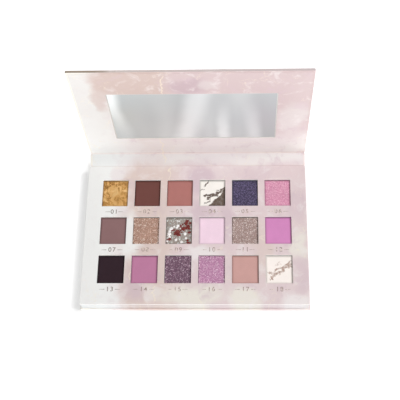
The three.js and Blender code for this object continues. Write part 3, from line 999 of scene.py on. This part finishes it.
# Two thin sheets, inside and outside, run from one board to the next across a fold.
# place gives the point at a distance from the fold (negative before it) and a height.
def foldPaper(name, place, bodyBefore, bodyAfter, replaced):
    shape = bmesh.new()
    mapLayer = shape.loops.layers.uv.new("printMap")
    mapStart = printStart[bodyAfter]
    width = coverHigh.x * 2 - foldLook["narrower"]
    reach = gutter + foldLook["tuck"]
    steps = foldLook["steps"]

    def addFace(entries):
        face = shape.faces.new([entry[0] for entry in entries])
        for loop, entry in zip(face.loops, entries):
            loop[mapLayer].uv = (entry[1], mapStart + entry[2])
        return face

    for side, depth in ((1, foldLook["insideDepth"]), (-1, foldLook["outsideDepth"])):
        height = side * (halfBoard - depth)
        under = height - side * paper * 0.5
        rows = []
        for step in range(steps + 1):
            along = -reach + 2 * reach * step / steps
            outline = ((-width / 2, height), (width / 2, height), (width / 2, under), (-width / 2, under))
            rows.append([(shape.verts.new(place(across, along, level)), across, along)
                         for across, level in outline])
        for step in range(steps):
            for corner in range(4):
                after = (corner + 1) % 4
                addFace([rows[step][corner], rows[step][after],
                         rows[step + 1][after], rows[step + 1][corner]]).smooth = True
        addFace(rows[0])
        addFace(rows[-1])
    bmesh.ops.recalc_face_normals(shape, faces=shape.faces)
    # the fold paper's print is darkened a little: painted shade in the crease
    mesh = meshFrom(shape, name, [creaseShadedPrint], foldLook["sharp"])
    piece = addPiece(name, mesh, None, "printed_paper", [replaced])
    half = gutter * foldLook["bend"]
    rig.blend(piece, bodyBefore, bodyAfter, start=place(0, -half, 0), end=place(0, half, 0))
    return piece


# At rest the paper leaves one board flat and meets the next one at its own angle: in a mitre on
# the inside of the fold, where the boards close up, and in a round bend on the outside.
def bentPlace(fold, angleBefore, angleAfter):
    reach = gutter + foldLook["tuck"]
    opening = angleAfter - angleBefore

    def place(across, along, height):
        heading = angleBefore if along < 0 else angleAfter
        if height > 0:
            angle = heading
            mitre = height * math.tan(opening / 2)
            along = math.copysign(mitre + (reach - mitre) * abs(along) / reach, along)
        else:
            share = min(max(along / (gutter * 2 * foldLook["bend"]) + 0.5, 0.0), 1.0)
            angle = angleBefore + opening * share * share * (3 - 2 * share)
        back = Vector((0, math.cos(heading), math.sin(heading)))
        up = Vector((0, -math.sin(angle), math.cos(angle)))
        return Vector((across, 0, 0)) + fold + back * along + up * height
    return place


# The tray: a printed wrap round its walls, the printed card on top, and the numbers on the card.
trayLook = {"wall": 0.002, "corner": 0.0012, "innerCorner": 0.001, "footEdge": 0.00005, "topEdge": 0.0003}


def trayWrap():
    wall = trayLook["wall"]
    low, high = (trayLow.x, trayLow.y), (trayHigh.x, trayHigh.y)
    inner = (low[0] + wall, low[1] + wall), (high[0] - wall, high[1] - wall)
    rings = [ring(*inner, trayLook["innerCorner"], trayLow.z)]
    rings += plate(low, high, trayLook["corner"], trayLow.z, trayHigh.z, trayLook["footEdge"],
                   trayLook["topEdge"])
    rings.append(ring(*inner, trayLook["innerCorner"], trayHigh.z))
    shape = skin(rings, [0] * (len(rings) - 1) + [1], capped=False)
    # the outer walls and the top of the wall wear painted shade, darker than the card's print
    mesh = finishMesh(shape, "trayWrap", "tray", [sideShadedPrint, whiteBoard])
    return addPiece("trayWrap", mesh, "tray", "printed_paper", ["tray_frame"])


# The printed card keeps the outline of its CAD node, but for the strip of wrapped wall that shows
# behind its rear edge. Its cut edges get a small bevel.
# the strip shows the top of the wall in the side print, whose painted shade makes it a thin dark line
cardLook = {"rearStrip": 0.0009, "rearBand": 0.002, "bevel": 0.00013, "merge": 1e-6}


def printedCard():
    shape = bmesh.new()
    shape.from_mesh(frame["nodes"]["top_card"].data)
    bmesh.ops.remove_doubles(shape, verts=shape.verts, dist=cardLook["merge"])
    for vert in shape.verts:
        if vert.co.y > cardHigh.y - cardLook["rearBand"]:
            vert.co.y -= cardLook["rearStrip"]
    bmesh.ops.dissolve_limit(shape, angle_limit=math.radians(1), verts=shape.verts, edges=shape.edges)
    sharp = [edge for edge in shape.edges
             if len(edge.link_faces) == 2 and edge.calc_face_angle() > math.radians(60)
             and abs(edge.verts[0].co.z - edge.verts[1].co.z) < cardLook["merge"]]
    bmesh.ops.bevel(shape, geom=sharp, offset=cardLook["bevel"], segments=2, affect="EDGES", profile=0.5)
    bmesh.ops.triangulate(shape, faces=[face for face in shape.faces if len(face.verts) > 4])
    for face in shape.faces:
        # only the upper face is printed
        face.material_index = 0 if face.normal.z > 0.8 else 1
    mesh = finishMesh(shape, "printedCard", "tray", [rosePrint, whiteCore], smooth=False)
    return addPiece("printedCard", mesh, "tray", "printed_card", ["top_card"])


# Each pan is named by a plain number between two short dashes that taper outwards, stamped in foil.
labelLook = {"height": 0.0041, "fontScale": 1.4, "spacing": 1.25, "bolder": 0.00003, "below": 0.0056,
             "dash": 0.0045, "gap": 0.0016, "stroke": 0.00045, "taper": 0.4, "thickness": 0.00003}


def flatNumber(label):
    text = bpy.data.curves.new(f"number{label}", "FONT")
    text.body = label
    text.size = labelLook["height"] * labelLook["fontScale"]
    text.align_x = "CENTER"
    text.align_y = "CENTER"
    text.space_character = labelLook["spacing"]
    text.offset = labelLook["bolder"]
    holder = bpy.data.objects.new(f"number{label}", text)
    scene.collection.objects.link(holder)
    flat = bpy.data.meshes.new_from_object(holder.evaluated_get(bpy.context.evaluated_depsgraph_get()))
    bpy.data.objects.remove(holder)
    return flat


def foilNumbers():
    shape = bmesh.new()
    half = labelLook["stroke"] / 2
    for label in panLabels:
        low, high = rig.box(f"powder_{label}")
        middle = Vector(((low.x + high.x) / 2, low.y - labelLook["below"], cardHigh.z))
        flat = flatNumber(label)
        wide = max(vert.co.x for vert in flat.vertices)
        part = bmesh.new()
        part.from_mesh(flat)
        for side in (-1, 1):
            near = side * (wide + labelLook["gap"])
            far = near + side * labelLook["dash"]
            tip = half * labelLook["taper"]
            corners = [(near, -half), (far, -tip), (far, tip), (near, half)]
            points = [part.verts.new((x, y, 0)) for x, y in corners]
            part.faces.new(points if side > 0 else list(reversed(points)))
        thick = bmesh.ops.extrude_face_region(part, geom=list(part.faces))
        raised = [entry for entry in thick["geom"] if isinstance(entry, bmesh.types.BMVert)]
        bmesh.ops.translate(part, verts=raised, vec=(0, 0, labelLook["thickness"]))
        bmesh.ops.translate(part, verts=part.verts, vec=middle)
        bmesh.ops.recalc_face_normals(part, faces=part.faces)
        joined = meshFrom(part, "part", [])
        shape.from_mesh(joined)
        bpy.data.meshes.remove(joined)
        bpy.data.meshes.remove(flat)
    return addPiece("foilNumbers", meshFrom(shape, "foilNumbers", [foil]), "tray", "printed_card")


# Powders. One dictionary for each shade: how it is pressed, its colours and, where it has them,
# its flakes.
marbleEbony = {
    "light": (247, 241, 235), "dark": (97, 80, 70), "wobble": 2.4, "bend": 0.34, "frill": 0.16,
    "feather": 0.9,
    "pool": {"slope": 0.95, "height": -0.30},
    "strokes": [
        {"slope": 0.05, "height": 0.40, "width": 0.045, "from": 0.16, "to": 0.70},
        {"slope": 0.55, "height": 0.14, "width": 0.060, "from": 0.60, "to": 1.10},
        {"slope": 0.30, "height": 0.22, "width": 0.035, "from": 0.28, "to": 0.72},
        {"slope": 0.60, "height": 0.02, "width": 0.030, "from": 0.16, "to": 0.46, "strength": 0.85},
        {"slope": 0.90, "height": 0.66, "width": 0.050, "from": 0.16, "to": 0.36},
        {"slope": 0.30, "height": 0.62, "width": 0.016, "from": 0.02, "to": 0.20, "strength": 0.6},
        {"slope": 0.20, "height": 0.50, "width": 0.020, "from": 0.66, "to": 0.90, "strength": 0.8},
    ],
}
marbleShell = {
    "light": (251, 242, 236), "dark": (162, 128, 112), "wobble": 3.0, "bend": 0.34, "frill": 0.24,
    "feather": 0.45,
    "pool": None,
    "strokes": [
        {"slope": 0.60, "height": 0.10, "width": 0.062, "from": 0.12, "to": 0.96, "strength": 0.9},
        {"slope": 0.50, "height": 0.31, "width": 0.048, "from": 0.30, "to": 1.00, "strength": 0.85},
        {"slope": 0.20, "height": 0.46, "width": 0.080, "from": 0.62, "to": 1.00, "strength": 0.8},
        {"slope": -0.2, "height": 0.42, "width": 0.055, "from": 0.06, "to": 0.34, "strength": 0.7},
        {"slope": 0.90, "height": 0.32, "width": 0.025, "from": 0.34, "to": 0.56, "strength": 0.5},
        {"slope": 0.45, "height": 0.10, "width": 0.020, "from": 0.10, "to": 0.60, "strength": 0.45},
        {"slope": 0.10, "height": 0.66, "width": 0.016, "from": 0.40, "to": 0.60, "strength": 0.35},
    ],
}
shades = {
    "01": {"press": "crumpled", "base": (231, 181, 113), "crease": (138, 88, 40)},
    "02": {"press": "matte", "base": (112, 69, 63)},
    "03": {"press": "matte", "base": (176, 117, 111)},
    "04": {"press": "marbled", "marble": marbleEbony},
    "05": {"press": "shimmer", "base": (60, 51, 78), "bright": (132, 120, 162), "plate": 0.00050},
    "06": {"press": "shimmer", "base": (216, 143, 174), "bright": (250, 205, 222), "plate": 0.00050},
    "07": {"press": "matte", "base": (141, 108, 108)},
    "08": {"press": "glitter", "base": (176, 138, 121),
           "flakes": [(138, 100, 84), (212, 176, 158), (240, 208, 190), (255, 246, 236)]},
    "09": {"press": "confetti", "base": (162, 150, 142),
           "flakes": [(138, 130, 123), (180, 180, 176), (206, 210, 206), (246, 246, 244)]},
    "10": {"press": "matte", "base": (243, 215, 230)},
    "11": {"press": "glitter", "base": (164, 139, 133),
           "flakes": [(126, 108, 104), (200, 176, 170), (230, 212, 206), (255, 248, 244)]},
    "12": {"press": "matte", "base": (211, 139, 190)},
    "13": {"press": "matte", "base": (48, 31, 39)},
    "14": {"press": "matte", "base": (189, 126, 159)},
    "15": {"press": "glitter", "base": (110, 78, 98),
           "flakes": [(88, 60, 82), (148, 112, 132), (184, 148, 168), (240, 220, 230)]},
    "16": {"press": "glitter", "base": (186, 130, 166),
           "flakes": [(156, 100, 138), (222, 172, 202), (242, 204, 226), (255, 242, 250)]},
    "17": {"press": "matte", "base": (203, 159, 153)},
    "18": {"press": "marbled", "marble": marbleShell},
}

# The face of a cake, in metres: how far it rises and falls, and over what distance.
presses = {
    "matte": {"swell": 0.00006, "span": 0.009, "cells": 40},
    "marbled": {"swell": 0.00008, "span": 0.007, "cells": 40},
    "shimmer": {"swell": 0.00008, "span": 0.0035, "cells": 60},
    "glitter": {"swell": 0.00014, "span": 0.0012, "cells": 84},
    "confetti": {"swell": 0.00018, "span": 0.0030, "cells": 60},
    "crumpled": {"swell": 0.00050, "span": 0.0085, "cells": 110},
}
# Every cake sinks towards its rim. Gold is folded at two sizes and bent by a third.
cakeLook = {"rim": 0.00030, "rimSpan": 0.0006, "seedStep": 7.3, "sharp": 50}
crumples = {"bendScale": 0.8, "bend": 0.6, "large": 1.3, "smallScale": 2.3, "small": 0.5, "lift": 0.35}


def faceHeight(press, x, y, gap, seed):
    kind = presses[press]
    point = Vector((x / kind["span"], y / kind["span"], seed * cakeLook["seedStep"]))
    if press == "crumpled":
        bent = point + noise.noise_vector(point * crumples["bendScale"]) * crumples["bend"]
        large = abs(noise.noise(bent)) * crumples["large"]
        small = abs(noise.noise(bent * crumples["smallScale"])) * crumples["small"]
        rise = -large - small + crumples["lift"]
    else:
        rise = noise.fractal(point, 0.9, 2.0, 3) * 0.7
    return kind["swell"] * rise - cakeLook["rim"] * math.exp(-gap / cakeLook["rimSpan"])


def powderLook(label, shade):
    name = f"powderLook{label}"
    if shade["press"] == "matte":
        return mattePowder(name, shade["base"])
    if shade["press"] == "shimmer":
        return shimmerPowder(name, shade["base"], shade["bright"], shade["plate"], 0.45)
    if shade["press"] == "crumpled":
        return goldPowder(name, shade["base"], shade["crease"])
    if shade["press"] == "marbled":
        return marbledPowder(name, shade["marble"])
    return glitterBed(name, shade["base"])


def powderCake(label, shade):
    low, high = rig.box(f"powder_{label}")
    cells = presses[shade["press"]]["cells"]
    seed = int(label)
    shape = bmesh.new()
    mapLayer = shape.loops.layers.uv.new("cakeMap")
    grid = []
    for row in range(cells + 1):
        y = low.y + (high.y - low.y) * row / cells
        line = []
        for column in range(cells + 1):
            x = low.x + (high.x - low.x) * column / cells
            gap = min(x - low.x, high.x - x, y - low.y, high.y - y)
            line.append(shape.verts.new((x, y, high.z + faceHeight(shade["press"], x, y, gap, seed))))
        grid.append(line)
    for row in range(cells):
        for column in range(cells):
            shape.faces.new((grid[row][column], grid[row][column + 1],
                             grid[row + 1][column + 1], grid[row + 1][column]))
    border = grid[0][:-1] + [line[-1] for line in grid[:-1]]
    border += list(reversed(grid[-1]))[:-1] + [line[0] for line in reversed(grid)][:-1]
    foot = [shape.verts.new((vert.co.x, vert.co.y, low.z)) for vert in border]
    for at, vert in enumerate(border):
        after = (at + 1) % len(border)
        shape.faces.new((vert, foot[at], foot[after], border[after]))
    shape.faces.new(foot)
    bmesh.ops.recalc_face_normals(shape, faces=shape.faces)
    for face in shape.faces:
        face.smooth = True
        for loop in face.loops:
            loop[mapLayer].uv = ((loop.vert.co.x - low.x) / (high.x - low.x),
                                 (loop.vert.co.y - low.y) / (high.y - low.y))
    mesh = meshFrom(shape, f"powderCake{label}", [powderLook(label, shade)], cakeLook["sharp"])
    return addPiece(f"powderCake{label}", mesh, "tray", f"powder_{label}", [f"powder_{label}"])


# Glitter: flat flakes scattered over a face by a node tree.

def flakeTree():
    tree = bpy.data.node_groups.new("flakeScatter", "GeometryNodeTree")
    sockets = (("Face", "NodeSocketGeometry", None), ("Flakes Per Square Metre", "NodeSocketFloat", 1e6),
               ("Flake Size", "NodeSocketFloat", 0.0005), ("Tilt", "NodeSocketFloat", 0.4),
               ("Sides", "NodeSocketInt", 6), ("Seed", "NodeSocketInt", 1),
               ("Finish", "NodeSocketMaterial", None))
    for label, kind, value in sockets:
        socket = tree.interface.new_socket(label, in_out="INPUT", socket_type=kind)
        if value is not None:
            socket.default_value = value
    tree.interface.new_socket("Flakes", in_out="OUTPUT", socket_type="NodeSocketGeometry")
    start = tree.nodes.new("NodeGroupInput").outputs
    end = tree.nodes.new("NodeGroupOutput").inputs
    points = addNode(tree, "GeometryNodeDistributePointsOnFaces", {
        "Mesh": start["Face"], "Density": start["Flakes Per Square Metre"], "Seed": start["Seed"]})
    flake = addNode(tree, "GeometryNodeMeshCircle", {"Vertices": start["Sides"], "Radius": 0.5},
                    fill_type="NGON")
    lean = addNode(tree, "ShaderNodeCombineXYZ", {0: start["Tilt"], 1: start["Tilt"], 2: math.pi})
    back = moved(tree, "SCALE", lean.outputs[0])
    back.node.inputs["Scale"].default_value = -1.0
    turn = addNode(tree, "FunctionNodeRandomValue", {0: back, 1: lean.outputs[0], "Seed": start["Seed"]},
                   data_type="FLOAT_VECTOR")
    size = addNode(tree, "FunctionNodeRandomValue", {2: 0.55, 3: 1.25, "Seed": start["Seed"]},
                   data_type="FLOAT")
    width = addNode(tree, "ShaderNodeMath", {0: size.outputs[1], 1: start["Flake Size"]},
                    operation="MULTIPLY")
    placed = addNode(tree, "GeometryNodeInstanceOnPoints", {
        "Points": points.outputs["Points"], "Instance": flake.outputs["Mesh"],
        "Rotation": turn.outputs[0], "Scale": width.outputs[0]})
    tone = addNode(tree, "FunctionNodeRandomValue", {2: 0.0, 3: 1.0, "Seed": 7}, data_type="FLOAT")
    marked = addNode(tree, "GeometryNodeStoreNamedAttribute", {
        "Geometry": placed.outputs[0], "Name": "flakeTone", "Value": tone.outputs[1]},
        data_type="FLOAT", domain="INSTANCE")
    real = addNode(tree, "GeometryNodeRealizeInstances", {"Geometry": marked.outputs[0]})
    coated = addNode(tree, "GeometryNodeSetMaterial", {
        "Geometry": real.outputs[0], "Material": start["Finish"]})
    tree.links.new(coated.outputs[0], end["Flakes"])
    return tree


scatter = flakeTree()


# The flakes of each kind of press, which lie with their middles just under the face of the cake.
flakeLooks = {
    "glitter": {"Flakes Per Square Metre": 3.0e6, "Flake Size": 0.00072, "Tilt": 0.30, "Sides": 6},
    "confetti": {"Flakes Per Square Metre": 0.8e6, "Flake Size": 0.0014, "Tilt": 0.30, "Sides": 5},
}
flakeDepth = 0.00002


def scatterFlakes(label, shade):
    low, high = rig.box(f"powder_{label}")
    look = flakeLooks[shade["press"]]
    inset = look["Flake Size"] * 0.6
    level = high.z - flakeDepth
    face = bpy.data.meshes.new("flakeBed")
    corners = [(low.x + inset, low.y + inset, level), (high.x - inset, low.y + inset, level),
               (high.x - inset, high.y - inset, level), (low.x + inset, high.y - inset, level)]
    face.from_pydata(corners, [], [(0, 1, 2, 3)])
    bed = bpy.data.objects.new("flakeBed", face)
    scene.collection.objects.link(bed)
    finish = glitterFlakes(f"flakeLook{label}", shade["flakes"])
    modifier = bed.modifiers.new("flakes", "NODES")
    modifier.node_group = scatter
    wanted = {**look, "Seed": int(label), "Finish": finish}
    for item in scatter.interface.items_tree:
        if item.in_out == "INPUT" and item.name in wanted:
            modifier[item.identifier] = wanted[item.name]
    mesh = bpy.data.meshes.new_from_object(bed.evaluated_get(bpy.context.evaluated_depsgraph_get()))
    mesh.name = f"glitter{label}"
    bpy.data.objects.remove(bed)
    return addPiece(f"glitter{label}", mesh, "tray", f"powder_{label}")


# The confetti shade: silver flakes, pearls and small dark red stars.

confettiLook = {
    "pearls": 17, "pearlSize": (0.0009, 0.0019), "pearlSunk": 0.25, "pearlHeight": 0.7,
    # star clusters: middle across and along the pan (0 to 1), spread, and how many stars
    "clusters": [(0.40, 0.42, 0.085, 22), (0.62, 0.60, 0.070, 14), (0.84, 0.72, 0.080, 18),
                 (0.06, 0.16, 0.04, 4), (0.86, 0.06, 0.04, 4), (0.90, 0.45, 0.03, 2)],
    "starSize": 0.0019, "tips": 5, "notch": 0.42, "crown": 0.00012, "belly": 0.00006,
    "rise": (0.00012, 0.00032), "margin": 0.05,
}


def confettiPearls(label):
    low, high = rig.box(f"powder_{label}")
    dice = random.Random(9)
    shape = bmesh.new()
    for _ in range(confettiLook["pearls"]):
        radius = dice.uniform(*confettiLook["pearlSize"])
        x = dice.uniform(low.x + radius, high.x - radius)
        y = dice.uniform(low.y + radius, high.y - radius)
        place = Matrix.Translation((x, y, high.z - radius * confettiLook["pearlSunk"]))
        squashed = Matrix.Diagonal((1, dice.uniform(0.8, 1.2), confettiLook["pearlHeight"], 1))
        bmesh.ops.create_icosphere(shape, subdivisions=3, radius=radius, matrix=place @ squashed)
    for face in shape.faces:
        face.smooth = True
    mesh = meshFrom(shape, "confettiPearls", [pearlWhite()])
    return addPiece("confettiPearls", mesh, "tray", f"powder_{label}")


def confettiStars(label):
    low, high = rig.box(f"powder_{label}")
    look = confettiLook
    corners = 2 * look["tips"]
    dice = random.Random(4)
    shape = bmesh.new()

    def within(middle, width):
        return min(max(dice.gauss(middle, width), look["margin"]), 1 - look["margin"])

    for across, along, width, count in look["clusters"]:
        for _ in range(count):
            x = low.x + (high.x - low.x) * within(across, width)
            y = low.y + (high.y - low.y) * within(along, width)
            size = look["starSize"] * dice.uniform(0.6, 1.1)
            turn = dice.uniform(0, math.tau)
            lean = Matrix.Rotation(dice.uniform(-0.3, 0.3), 4, "X")
            level = high.z + dice.uniform(*look["rise"])
            rim = []
            for corner in range(corners):
                reach = size if corner % 2 == 0 else size * look["notch"]
                angle = turn + math.tau * corner / corners
                arm = lean @ Vector((reach * math.cos(angle), reach * math.sin(angle), 0))
                rim.append(shape.verts.new(Vector((x, y, level)) + arm))
            crown = shape.verts.new((x, y, level + look["crown"]))
            belly = shape.verts.new((x, y, level - look["belly"]))
            for corner in range(corners):
                after = (corner + 1) % corners
                shape.faces.new((rim[corner], rim[after], crown))
                shape.faces.new((rim[after], rim[corner], belly))
    return addPiece("confettiStars", meshFrom(shape, "confettiStars", [starFoil()]), "tray",
                    f"powder_{label}")


# Camera, floor and light. The camera turns aside, looks down and rolls, in degrees.
cameraLook = {"place": (0.03914, -0.30381, 0.74244), "turn": -6.06, "down": 65.20, "roll": -5.72,
              "lens": 81.25, "sensor": 36.0}


def addCamera():
    turn, down, roll = (math.radians(cameraLook[name]) for name in ("turn", "down", "roll"))
    ahead = Vector((math.sin(turn) * math.cos(down), math.cos(turn) * math.cos(down), -math.sin(down)))
    level = Vector((math.cos(turn), -math.sin(turn), 0))
    above = level.cross(ahead)
    right = level * math.cos(roll) + above * math.sin(roll)
    up = above * math.cos(roll) - level * math.sin(roll)
    lens = bpy.data.cameras.new("camera")
    lens.lens = cameraLook["lens"]
    lens.sensor_width = cameraLook["sensor"]
    lens.clip_start = 0.01
    camera = bpy.data.objects.new("camera", lens)
    axes = Matrix((right, up, -ahead)).transposed().to_4x4()
    camera.matrix_world = Matrix.Translation(cameraLook["place"]) @ axes
    scene.collection.objects.link(camera)
    scene.camera = camera


studio = {
    "world": (1.0, 1.0, 1.0), "worldStrength": 0.41,
    "key": {"place": (1.12, -0.02, 1.31), "aim": (0, 0.0, 0.01), "size": 0.60, "power": 13.6,
            "shadow": True},
    "fill": {"place": (-0.15, -1.3, 0.55), "aim": (0, 0.08, 0.05), "size": 0.9, "power": 10.5,
             "shadow": False},
    # the floor glows a little, and more beyond this distance from the tray: painted light that whitens the floor and
    # leaves the tray's shadow short
    "nearGlow": 0.13, "farGlow": 0.42, "nearBy": 0.004, "farBy": 0.0120,
    "floorHalf": 3.0, "floorDrop": 0.0002, "floorShades": (0.90, 0.92),
}


def addFloor():
    shape = bmesh.new()
    bmesh.ops.create_grid(shape, x_segments=1, y_segments=1, size=studio["floorHalf"])
    material, tree, shader = newMaterial("floorLook", 0.9)
    speck = cloud(tree, surfacePoint(tree), 40, 2)["Fac"]
    stops = [(at, (shade, shade, shade, 1)) for at, shade in enumerate(studio["floorShades"])]
    tree.links.new(ramp(tree, speck, stops), shader["Base Color"])
    place = parts(tree, surfacePoint(tree))
    beside = calc(tree, "SUBTRACT", calc(tree, "ABSOLUTE", place[0]), trayHigh.x)
    before = calc(tree, "SUBTRACT", calc(tree, "ABSOLUTE", place[1]), trayHigh.y)
    away = calc(tree, "MAXIMUM", beside, before)
    # painted light: the floor glows more the further it is from the tray
    glow = spread(tree, away, studio["nearBy"], studio["farBy"], studio["nearGlow"], studio["farGlow"])
    shader["Emission Color"].default_value = (1.0, 1.0, 1.0, 1.0)
    tree.links.new(glow, shader["Emission Strength"])
    floor = bpy.data.objects.new("floor", meshFrom(shape, "floor", [material]))
    floor.location = (0, 0, -studio["floorDrop"])
    scene.collection.objects.link(floor)
    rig.stage(floor)


def addLight(name, look):
    light = bpy.data.lights.new(name, "AREA")
    light.shape = "DISK"
    light.size = look["size"]
    light.energy = look["power"]
    light.use_shadow = look["shadow"]
    lamp = bpy.data.objects.new(name, light)
    lamp.location = look["place"]
    aim = Vector(look["aim"]) - Vector(look["place"])
    lamp.rotation_euler = aim.to_track_quat("-Z", "Y").to_euler()
    scene.collection.objects.link(lamp)


def addStudio():
    world = bpy.data.worlds.new("studio")
    world.use_nodes = True
    background = world.node_tree.nodes["Background"]
    background.inputs["Color"].default_value = (*studio["world"], 1.0)
    # the room behind the floor is as white as the floor, but lights the object less
    seen = addNode(world.node_tree, "ShaderNodeLightPath").outputs["Is Camera Ray"]
    strength = spread(world.node_tree, seen, 0.0, 1.0, studio["worldStrength"], 1.0)
    world.node_tree.links.new(strength, background.inputs["Strength"])
    scene.world = world
    scene.view_settings.view_transform = "Standard"
    addLight("key", studio["key"])
    addLight("fill", studio["fill"])


addCamera()
addFloor()
addStudio()
print("camera, floor and light ready")

baseCover()
spineCover()
lidCover()
spineLining()
lidLining()
mirrorPlate()
foldPaper("lowerFold", bentPlace(lowerFold, 0.0, spineLean), "tray", "spine", "lower_hinge_crease")
foldPaper("upperFold", bentPlace(upperFold, spineLean, math.pi / 2), "spine", "lid", "upper_hinge_crease")
print("case ready")

trayWrap()
printedCard()
foilNumbers()
print("tray ready")

for label, shade in shades.items():
    powderCake(label, shade)
    if shade["press"] in flakeLooks:
        scatterFlakes(label, shade)
    if shade["press"] == "confetti":
        confettiPearls(label)
        confettiStars(label)
print("powders ready")

# What the case hides keeps its CAD shape and gets its own look.
carried = {"pan_platform": cardPlatform, "adhesive_sheet": tapeLook, "pan_carrier": whiteBoard,
           "mirror_tape": tapeLook}
carried.update({f"pan_{label}": tin for label in panLabels})
carried.update({f"{node}_{side}": magnetLook for node in ("base_magnet", "lid_keeper")
                for side in ("left", "right")})
for node, look in carried.items():
    for slot in frame["nodes"][node].material_slots:
        slot.material = look

bounds = [list(corner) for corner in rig.bounds()]
json.dump({"cad": cadBox, "visual": bounds}, open("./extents.json", "w"))
